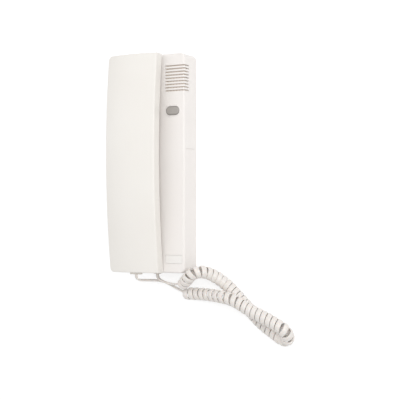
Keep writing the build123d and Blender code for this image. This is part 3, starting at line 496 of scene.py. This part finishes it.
HANDSET_LEAD_MM = (
    (20.4, -118.1, 6.0), (13.4, -115.2, 4.3), (6.8, -112.8, 4.1), (1.2, -111.2, 7.2),
    (-3.1, -110.6, 12.4), (-6.7, -110.4, 18.0), (-9.6, -110.2, 23.3), (-11.0, -109.1, 26.6),
    (-11.3, -107.0, 28.2), (-11.3, -104.3, 28.2))


@dataclass
class CurlyCord:
    """The flat cord: two short leads and the wound length between them, lying on the table.

    The curls open a little in tight bends, and more over the last part towards the handset, as they do in
    the photograph.
    """

    width: float = 4.8 * MM
    thickness: float = 1.9 * MM
    roundness: float = 0.74
    curl_radius: float = 5.0 * MM
    pitch: float = 5.2 * MM
    ramp: float = 5.0 * MM
    opening_share: float = 0.15
    loosened_share: float = 0.4
    loosened_from: float = 0.72
    length: float = 1.59
    line_order: int = 3
    line_steps: int = 24
    spacing: float = 0.25 * MM
    bend_reach: float = 2.4 * MM
    section_sides: int = 24
    vinyl: ExtrudedVinyl = ExtrudedVinyl("Extruded warm white PVC", "#ece8e4", "#e4ddd7")
    relief: MouldedPlastic = MouldedPlastic("Moulded warm white PVC", "#e6e1d9", "#dfd9d0", roughness=0.45)

    def route(self) -> list[Vector]:
        """Reads closely spaced places along the cord's line.

        Returns:
            Evenly spaced points of one NURBS spline through the whole route.
        """
        points = BASE_LEAD_MM + CURLS_MM + HANDSET_LEAD_MM
        curve = bpy.data.curves.new("cord_line", "CURVE")
        curve.dimensions = "3D"
        curve.resolution_u = self.line_steps
        spline = curve.splines.new("NURBS")
        spline.points.add(len(points) - 1)
        for point, place in zip(spline.points, points):
            point.co = (*(part * MM for part in place), 1.0)
        spline.order_u = self.line_order
        spline.use_endpoint_u = True
        line = bpy.data.objects.new("cord_line", curve)
        bpy.context.collection.objects.link(line)
        mesh = bpy.data.meshes.new_from_object(line)
        places = [vertex.co.copy() for vertex in mesh.vertices]
        bpy.data.objects.remove(line)
        bpy.data.meshes.remove(mesh)
        bpy.data.curves.remove(curve)
        return self.spaced(places, self.spacing)

    @staticmethod
    def spaced(places: list[Vector], step: float) -> list[Vector]:
        """Spaces points evenly along a line.

        Args:
            places: The line's points.
            step: About how far apart the new points are.

        Returns:
            The new points, both ends among them.
        """
        reach = [0.0]
        for a, b in zip(places, places[1:]):
            reach.append(reach[-1] + (b - a).length)
        count = max(round(reach[-1] / step), 2)
        out, k = [], 0
        for n in range(count):
            goal = reach[-1] * n / count
            while reach[k + 1] < goal:
                k += 1
            share = (goal - reach[k]) / max(reach[k + 1] - reach[k], TINY)
            out.append(places[k].lerp(places[k + 1], share))
        out.append(places[-1].copy())
        return out

    def wind(self, places: list[Vector]) -> tuple[list[Vector], list[Vector]]:
        """Winds the cord round its line between the two leads, where the band lies on its edge.

        Args:
            places: Evenly spaced points of the line.

        Returns:
            The points that the cord follows, and the way out of the curls at each.
        """
        step = (places[1] - places[0]).length
        first = min(range(len(places)), key=lambda k: (places[k] - Vector(CURLS_MM[0]) * MM).length)
        last = min(range(len(places)), key=lambda k: (places[k] - Vector(CURLS_MM[-1]) * MM).length)
        headings = [(b - a).normalized() for a, b in zip(places, places[1:])]
        headings.append(headings[-1].copy())
        across = headings[0].cross(Vector((0, 0, 1))).normalized()
        angle = 0.0
        sides, angles = [], []
        window = round(self.bend_reach / step)
        for k in range(len(places)):
            across = (across - headings[k] * across.dot(headings[k])).normalized()
            if first < k < last:
                low, high = k - window, k + window
                bend = headings[low].angle(headings[high]) / ((high - low) * step)
                along = (k - first) / (last - first)
                loose = math.sin(math.pi * max((along - self.loosened_from) / (1 - self.loosened_from), 0.0))
                pitch = self.pitch * (1 + self.loosened_share * loose)
                pitch /= 1 - self.opening_share * self.curl_radius * bend
                angle += 2 * math.pi * step / pitch
            sides.append(across)
            angles.append(angle)
        flat = headings[last].cross(Vector((0, 0, 1))).normalized()
        left = math.atan2(sides[last].cross(flat).dot(headings[last]), sides[last].dot(flat))
        stretch = (round((angle - left) / math.pi) * math.pi + left) / angle
        path, outward = [], []
        for k, place in enumerate(places):
            share = min(max(min(k - first, last - k) * step / self.ramp, 0.0), 1.0)
            radius = self.curl_radius * share * share * (3 - 2 * share)
            out = Matrix.Rotation(angles[k] * stretch, 3, headings[k]) @ sides[k]
            path.append(place + out * radius)
            outward.append(out)
        return path, outward

    def section(self) -> list[tuple[float, float]]:
        """Draws the band's section, flat with rounded edges.

        Returns:
            Its corners, each by its place across the width and across the thickness.
        """
        outline = []
        for k in range(self.section_sides):
            angle = 2 * math.pi * k / self.section_sides
            x, y = math.cos(angle), math.sin(angle)
            outline.append((
                math.copysign(abs(x) ** self.roundness, x) * self.width / 2,
                math.copysign(abs(y) ** self.roundness, y) * self.thickness / 2))
        return outline

    def band(self, path: list[Vector], outward: list[Vector]) -> bpy.types.Mesh:
        """Sweeps the section along the wound line.

        Args:
            path: The points that the cord follows.
            outward: The way out of the curls at each.

        Returns:
            The closed mesh of the band.
        """
        section = self.section()
        sides = len(section)
        verts, faces = [], []
        last = len(path) - 1
        for k, place in enumerate(path):
            heading = (path[min(k + 1, last)] - path[max(k - 1, 0)]).normalized()
            out = (outward[k] - heading * outward[k].dot(heading)).normalized()
            along = heading.cross(out)
            verts += [place + along * x + out * y for x, y in section]
            if k:
                row = (k - 1) * sides
                faces += [
                    (row + n, row + (n + 1) % sides, row + sides + (n + 1) % sides, row + sides + n)
                    for n in range(sides)]
        faces.append(tuple(range(sides)))
        faces.append(tuple(last * sides + n for n in reversed(range(sides))))
        mesh = bpy.data.meshes.new("cord")
        mesh.from_pydata([tuple(v) for v in verts], [], faces)
        mesh.validate()
        for polygon in mesh.polygons:
            polygon.use_smooth = len(polygon.vertices) == 4
        return mesh

    def build(self) -> bpy.types.Object:
        """Makes the cord, dresses its reliefs, logs its length and hides the cord solids that it stands in
        for.

        Returns:
            The cord's object.
        """
        path, outward = self.wind(self.route())
        mesh = self.band(path, outward)
        cord = bpy.data.objects.new("cord", mesh)
        bpy.context.collection.objects.link(cord)
        mesh.materials.append(self.vinyl.make())
        dress(("base_relief", "handset_relief"), self.relief.make())
        real = sum((b - a).length for a, b in zip(path, path[1:]))
        log.info("cord is %.3f m long in %d points", real, len(path))
        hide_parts("base_lead", "curly_cord", "handset_lead")
        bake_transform(cord)
        return cord


@dataclass(frozen=True)
class SoftLamp:
    """A square soft lamp that points at the phone."""

    name: str
    place: tuple[float, float, float]
    size: float
    watts: float
    aim: tuple[float, float, float] = (0.02, -0.03, 0.0)

    def hang(self) -> None:
        """Hangs the lamp."""
        data = bpy.data.lights.new(self.name, "AREA")
        data.size = self.size
        data.energy = self.watts
        lamp = bpy.data.objects.new(self.name, data)
        lamp.location = self.place
        lamp.rotation_euler = (Vector(self.aim) - Vector(self.place)).to_track_quat("-Z", "Y").to_euler()
        bpy.context.collection.objects.link(lamp)


@dataclass
class Studio:
    """A pale table, soft lamps and the camera, looking down at the phone from its right."""

    tilt_degrees: float = 29.0
    camera_place: tuple[float, float, float] = (0.4906, -0.0483, 0.8076)
    lens: float = 88.0
    sensor: float = 36.0
    shift: float = -0.0022
    rise: float = 0.0375
    nearest: float = 0.01
    table: str = "#f4f4f4"
    table_seen: str = "#a8a8a8"
    table_glow: float = 0.7
    table_roughness: float = 0.9
    table_reach: float = 3.0
    table_drop: float = 0.05 * MM
    dim_light: float = 0.6
    lamps: tuple[SoftLamp, ...] = (
        SoftLamp("key", (0.70, 0.24, 1.02), 0.8, 7.5),
        SoftLamp("fill", (-0.7, 0.3, 0.9), 0.8, 1.6))

    def build(self) -> None:
        """Sets up the table, the lamps, the world and the camera."""
        self.lay_table()
        for lamp in self.lamps:
            lamp.hang()
        self.set_world()
        self.set_camera()

    def set_camera(self) -> None:
        """Places the camera and keeps the picture's levels as they are."""
        data = bpy.data.cameras.new("camera")
        data.sensor_width = self.sensor
        data.lens = self.lens
        data.shift_x = self.shift
        data.shift_y = self.rise
        data.clip_start = self.nearest
        camera = bpy.data.objects.new("camera", data)
        camera.location = self.camera_place
        camera.rotation_euler = (0.0, math.radians(self.tilt_degrees), 0.0)
        bpy.context.collection.objects.link(camera)
        scene = bpy.context.scene
        scene.camera = camera
        scene.view_settings.view_transform = "Standard"

    @staticmethod
    def seen_rays(tree: bpy.types.NodeTree) -> bpy.types.NodeSocket:
        """Tells the rays that show the background, straight or by way of metal and glass.

        Args:
            tree: The node tree that asks.

        Returns:
            A socket that is one for those rays and nothing for the rest.
        """
        rays = add_node(tree, "ShaderNodeLightPath")
        shown = add_node(
            tree, "ShaderNodeMath",
            links={0: rays.outputs["Is Glossy Ray"], 1: rays.outputs["Is Transmission Ray"]},
            operation="MAXIMUM")
        seen = add_node(
            tree, "ShaderNodeMath", links={0: rays.outputs["Is Camera Ray"], 1: shown.outputs["Value"]},
            operation="MAXIMUM")
        return seen.outputs["Value"]

    def lay_table(self) -> None:
        """Lays the table top, which looks white to the camera and keeps a faint soft shadow."""
        material, tree, shader = new_material("Painted table")
        seen = self.seen_rays(tree)
        colour = add_node(
            tree, "ShaderNodeMix", {6: linear(self.table), 7: linear(self.table_seen)}, {0: seen},
            data_type="RGBA")
        glow = add_node(tree, "ShaderNodeMath", {1: self.table_glow}, {0: seen}, operation="MULTIPLY")
        tree.links.new(colour.outputs[2], shader.inputs["Base Color"])
        tree.links.new(glow.outputs["Value"], shader.inputs["Emission Strength"])
        shader.inputs["Emission Color"].default_value = WHITE
        shader.inputs["Roughness"].default_value = self.table_roughness
        mesh = bpy.data.meshes.new("table")
        half = self.table_reach
        mesh.from_pydata(
            [(-half, -half, 0), (half, -half, 0), (half, half, 0), (-half, half, 0)], [], [(0, 1, 2, 3)])
        mesh.materials.append(material)
        table = bpy.data.objects.new("table", mesh)
        table.location.z = -self.table_drop
        bpy.context.collection.objects.link(table)

    def set_world(self) -> None:
        """Makes the surroundings white to the camera and plainer to the object."""
        world = bpy.data.worlds.new("studio")
        world.use_nodes = True
        bpy.context.scene.world = world
        tree = world.node_tree
        tree.nodes.clear()
        dim = add_node(tree, "ShaderNodeBackground", {"Color": WHITE, "Strength": self.dim_light})
        white = add_node(tree, "ShaderNodeBackground", {"Color": WHITE, "Strength": 1.0})
        mixed = add_node(
            tree, "ShaderNodeMixShader",
            links={0: self.seen_rays(tree), 1: dim.outputs[0], 2: white.outputs[0]})
        add_node(tree, "ShaderNodeOutputWorld", links={"Surface": mixed.outputs[0]})


def main() -> None:
    """Loads the solids, dresses them, adds the cord and sets the studio."""
    logging.basicConfig(level=logging.INFO, format="%(name)s: %(message)s")
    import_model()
    Housing().build()
    Works().build()
    Handset().build()
    cord = CurlyCord().build()
    log.info("built %s", cord.name)
    Studio().build()


if __name__ == "__main__":
    main()
